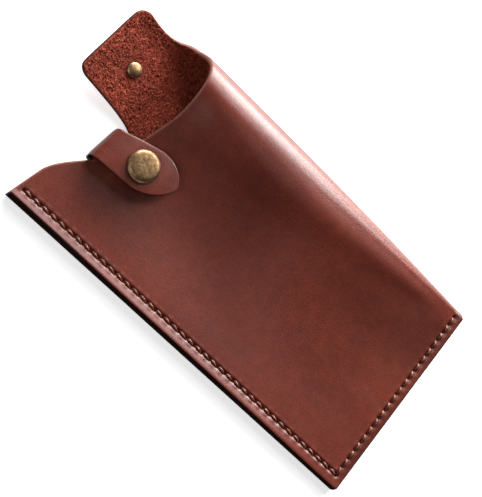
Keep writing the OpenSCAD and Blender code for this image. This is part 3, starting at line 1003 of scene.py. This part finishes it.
# ---- Turned metal pieces, from (radius, height) points above the face that they sit on ----
# Flat top with a soft bevel, a rolled rim and a post that goes down into the leather
CAP_PROFILE = [(0, 2.45), (2, 2.42), (3, 2.36), (4, 2.25), (4.6, 2.13), (5.0, 2.01), (5.35, 1.83),
               (5.7, 1.57), (5.95, 1.3), (6.13, 1.02), (6.22, 0.74), (6.22, 0.46), (6.12, 0.22),
               (5.95, 0.07), (5.7, 0.0), (1.25, 0.0), (1.25, -2.4), (1.1, -2.6), (0, -2.6)]
# A low dome on a post that goes through the flap
DOME_PROFILE = [(0, 1.3), (0.5, 1.28), (1.0, 1.2), (1.5, 1.08), (2.0, 0.89), (2.4, 0.68), (2.75, 0.42),
                (2.95, 0.2), (3.0, 0.02), (2.95, -0.15), (2.7, -0.22), (1.25, -0.22), (1.25, -4.2),
                (1.1, -4.4), (0, -4.4)]


def filled_profile(points):
    """More points along a profile, keeping its corners."""
    p = np.array(points, float)
    out = [p[0]]
    for a, b in zip(p[:-1], p[1:]):
        steps = max(1, int(np.linalg.norm(b - a) / 0.35))
        out += [mix(a, b, (i + 1) / steps) for i in range(steps)]
    return np.array(out)


def turned(name, profile, centre, tilt, material, dents):
    """A brass piece turned on an axis, with small dents beaten into its top."""
    profile = filled_profile(profile)
    around = np.linspace(0, 2 * np.pi, 121)
    r, h = profile[:, :1], profile[:, 1:]
    local = np.stack([r * np.cos(around), r * np.sin(around), h + 0 * around], -1)
    flat = local.reshape(-1, 3)
    push = [noise.noise((x * 0.55, y * 0.55, z + 3.0)) + 0.5 * noise.noise((x * 1.3, y * 1.3, z))
            for x, y, z in flat]
    flat[:, 2] += dents * np.array(push) * ease((flat[:, 2] - 0.9) / 0.5)
    turn = np.array(Euler((math.radians(tilt), 0, 0)).to_matrix())
    shell = Shell()
    shell.grid(flat.reshape(local.shape) @ turn.T + np.array(centre))
    return shell.build(name, [material], "antique_brass")


def make_cap():
    centre = (STRAP_X, CAP_Y, STRAP_TOP)
    material = brass_material("brass_cap", centre, CAP_R)
    piece = turned("snap_cap_brass", CAP_PROFILE, centre, 0, material, 0.05)
    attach(piece, "strap")
    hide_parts("snap_cap")


def make_dome():
    tilt = math.radians(DOME_TILT)
    sink = np.array([DOME_X, DOME_Y, math.tan(tilt) * (DOME_Y - TONGUE_Y)])
    centre = sink + np.array([0, -math.sin(tilt), math.cos(tilt)]) * LEATHER
    material = brass_material("brass_dome", tuple(centre), DOME_R)
    piece = turned("flap_post_brass", DOME_PROFILE, centre, DOME_TILT, material, 0.02)
    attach(piece, "flap")
    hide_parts("flap_stud_post")


make_pouch()
flap = make_flap()
strap = make_strap()
make_stitches("front_stitches", "needle_thread", FRONT_LEVEL, 1)
make_stitches("back_stitches", "bobbin_thread", BACK_LEVEL, -1)
make_cap()
make_dome()

# ---- Metal for the CAD's own nodes inside the fasteners ----
hidden_brass = brass_material("brass_fastener", (STRAP_X, CAP_Y, 6), FASTENER_R)
flap_brass = brass_material("brass_flap_stud", (DOME_X, DOME_Y, 2), FLAP_STUD_R)
spring_steel = steel_material()
for node, material in (("snap_socket", hidden_brass), ("front_stud", hidden_brass),
                       ("front_stud_post", hidden_brass), ("flap_stud", flap_brass),
                       ("socket_spring", spring_steel)):
    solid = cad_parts[node]
    solid.data.materials.clear()
    solid.data.materials.append(material)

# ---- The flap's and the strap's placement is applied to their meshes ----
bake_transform(flap)
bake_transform(strap)

# ---- Floor, light and camera, in metres ----
# The floor reaches this far each way, and lies this far under the pouch
FLOOR_HALF, FLOOR_DROP = 3.0, 0.00003
# Low light from the fold's side and from behind the flap, and higher ones towards the closed end:
# name, position, width and height, watts
LIGHTS = (
    ("low_light", (0.74, 0.06, 0.22), (0.64, 0.22), 7.4),
    ("side_light", (0.66, -0.22, 0.40), (0.38, 0.26), 4.8),
    ("edge_light", (0.70, 0.0, 0.075), (0.6, 0.12), 2.2),
    ("upper_light", (0.46, -0.02, 0.61), (0.4, 0.24), 1.4),
    ("overhead_light", (-0.02, -0.20, 0.78), (0.4, 0.2), 0.15),
    ("corner_light", (0.62, 0.42, 0.22), (0.3, 0.3), 4.5),
    ("fill_light", (-0.50, 0.45, 0.60), (0.5, 0.5), 1.8),
)
WORLD_STRENGTH = 0.02
# The photograph's viewing angle; the turn is in degrees
CAMERA_AT, CAMERA_TURN, CAMERA_LENS = (-0.12312, 0.10156, 0.42590), (3.37, -20.47, -48.97), 86.9

floor_mesh = bpy.data.meshes.new("floor")
corners = [(x * FLOOR_HALF, y * FLOOR_HALF, -FLOOR_DROP) for x, y in ((-1, -1), (1, -1), (1, 1), (-1, 1))]
floor_mesh.from_pydata(corners, [], [(0, 1, 2, 3)])
floor = bpy.data.objects.new("floor", floor_mesh)
bpy.context.scene.collection.objects.link(floor)
floor_material, _, floor_shader, _ = new_material("pale_floor")
for socket, value in (("Base Color", (0.93, 0.93, 0.93, 1)), ("Roughness", 0.9),
                      ("Emission Color", (1, 1, 1, 1)), ("Emission Strength", 0.6),
                      ("Specular IOR Level", 0.1)):
    floor_shader.inputs[socket].default_value = value
floor_mesh.materials.append(floor_material)


def softbox(name, position, size, power):
    """A soft rectangular light that faces the middle of the floor."""
    light = bpy.data.lights.new(name, "AREA")
    light.shape = "RECTANGLE"
    light.size, light.size_y = size
    light.energy = power
    lamp = bpy.data.objects.new(name, light)
    lamp.location = position
    lamp.rotation_euler = (-Vector(position)).to_track_quat("-Z", "Y").to_euler()
    bpy.context.scene.collection.objects.link(lamp)


for light in LIGHTS:
    softbox(*light)

world = bpy.data.worlds.new("studio")
world.use_nodes = True
background = world.node_tree.nodes["Background"]
background.inputs["Color"].default_value = (1, 1, 1, 1)
background.inputs["Strength"].default_value = WORLD_STRENGTH
bpy.context.scene.world = world
bpy.context.scene.view_settings.view_transform = "Standard"

camera = bpy.data.cameras.new("camera")
camera.lens = CAMERA_LENS
camera.clip_start = 0.01
view = bpy.data.objects.new("camera", camera)
view.location = CAMERA_AT
view.rotation_euler = Euler([math.radians(a) for a in CAMERA_TURN])
bpy.context.scene.collection.objects.link(view)
bpy.context.scene.camera = view
